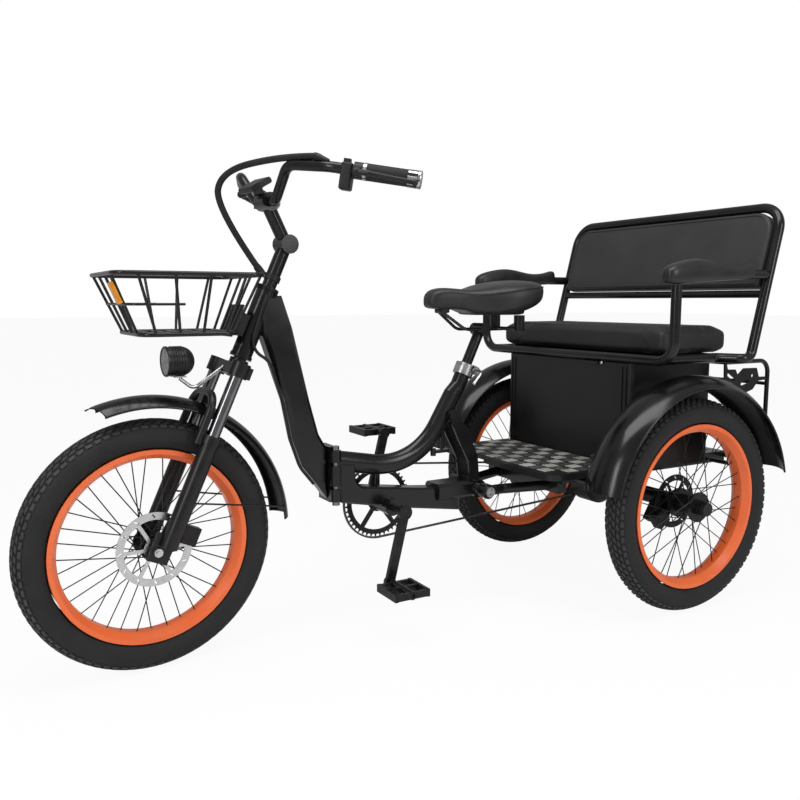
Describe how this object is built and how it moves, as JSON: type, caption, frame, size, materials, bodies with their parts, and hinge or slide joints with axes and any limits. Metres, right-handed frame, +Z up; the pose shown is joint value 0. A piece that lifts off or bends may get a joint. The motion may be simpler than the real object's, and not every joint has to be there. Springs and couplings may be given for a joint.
{
  "type": "electric tricycle",
  "caption": "Step-through electric tricycle with folding frame, single steered front wheel, front basket, padded rear bench over a storage box and a rear rack.",
  "frame": {"origin": "centre of the bottom face of the bounding box, on the ground", "axes": "+X forward, +Y to the rider's left, +Z up"},
  "size_m": [1.9119, 0.8088, 1.0947],
  "materials": {
    "frame_black": "gloss",
    "rim_orange": "satin",
    "tyre": "matte",
    "spoke_black": "satin",
    "disc_steel": "brushed",
    "stanchion": "polished",
    "rubber": "matte",
    "cushion": "satin",
    "pad": "satin",
    "plastic": "matte",
    "fender_gloss": "gloss",
    "lens": "clear",
    "amber": "gloss",
    "silver": "satin",
    "chain_steel": "oiled"
  },
  "bodies": {
    "rear_body": {"rear_frame": "frame_black", "hinge_pin": "frame_black", "seat_clamp": "silver", "seat_post": "frame_black", "saddle": "cushion", "rear_subframe": "frame_black", "pivot_bolt": "silver", "rear_axle": "frame_black", "motor": "frame_black", "storage_box": "frame_black", "box_lid": "frame_black", "battery": "plastic", "bench_frame": "frame_black", "seat_cushion": "cushion", "back_pad": "cushion", "armrests": "pad", "rear_fenders": "fender_gloss", "fender_braces": "frame_black", "rear_rack": "frame_black", "footrest": "frame_black", "chain": "chain_steel", "rear_calipers": "frame_black"},
    "front_body": {"front_frame": "frame_black", "headset_cups": "silver", "basket": "frame_black", "basket_bracket": "frame_black", "basket_reflector": "amber", "front_cables": "rubber", "fold_latch": "frame_black"},
    "steering": {"fork_crown": "frame_black", "fork_stanchions": "stanchion", "fork_lowers": "frame_black", "front_axle": "spoke_black", "front_fender": "fender_gloss", "front_fender_stays": "disc_steel", "headlamp": "plastic", "headlamp_lens": "lens", "headlamp_bracket": "silver", "stem": "frame_black", "handlebar": "frame_black", "grips": "rubber", "brake_levers": "frame_black", "display": "plastic", "bar_switch": "plastic", "front_caliper": "frame_black", "bar_cables": "rubber"},
    "front_wheel": {"front_tyre": "tyre", "front_rim": "rim_orange", "front_hub_and_spokes": "spoke_black", "front_brake_disc": "disc_steel"},
    "left_wheel": {"rear_left_tyre": "tyre", "rear_left_rim": "rim_orange", "rear_left_hub_and_spokes": "spoke_black"},
    "right_wheel": {"rear_right_tyre": "tyre", "rear_right_rim": "rim_orange", "rear_right_hub_and_spokes": "spoke_black"},
    "crank": {"crankset": "spoke_black", "chainring": "chain_steel"},
    "left_pedal": {"pedal_left": "plastic"},
    "right_pedal": {"pedal_right": "plastic"}
  },
  "joints": [
    {"name": "frame_fold", "type": "hinge", "parent": "rear_body", "child": "front_body", "pos_m": [0.262, 0.043, 0.384], "axis": [0, 0, 1], "range_deg": [0, 90]},
    {"name": "steer", "type": "hinge", "parent": "front_body", "child": "steering", "pos_m": [0.65203, 0, 0.25826], "axis": [-0.4067, 0, 0.9135], "range_deg": [-44, 36]},
    {"name": "front_wheel_spin", "type": "hinge", "parent": "steering", "child": "front_wheel", "pos_m": [0.68392, 0.00244, 0.27247], "axis": [-0.0637, 0.9976, -0.0284], "continuous": true},
    {"name": "left_wheel_spin", "type": "hinge", "parent": "rear_body", "child": "left_wheel", "pos_m": [-0.588, 0.343, 0.2725], "axis": [0, 1, 0], "continuous": true},
    {"name": "right_wheel_spin", "type": "hinge", "parent": "rear_body", "child": "right_wheel", "pos_m": [-0.588, -0.343, 0.2725], "axis": [0, 1, 0], "continuous": true},
    {"name": "crank_spin", "type": "hinge", "parent": "rear_body", "child": "crank", "pos_m": [0.102, 0, 0.285], "axis": [0, 1, 0], "continuous": true},
    {"name": "left_pedal_spin", "type": "hinge", "parent": "crank", "child": "left_pedal", "pos_m": [0.14313, 0.15, 0.12005], "axis": [0, 1, 0], "continuous": true},
    {"name": "right_pedal_spin", "type": "hinge", "parent": "crank", "child": "right_pedal", "pos_m": [0.06087, -0.15, 0.44995], "axis": [0, 1, 0], "continuous": true}
  ]
}
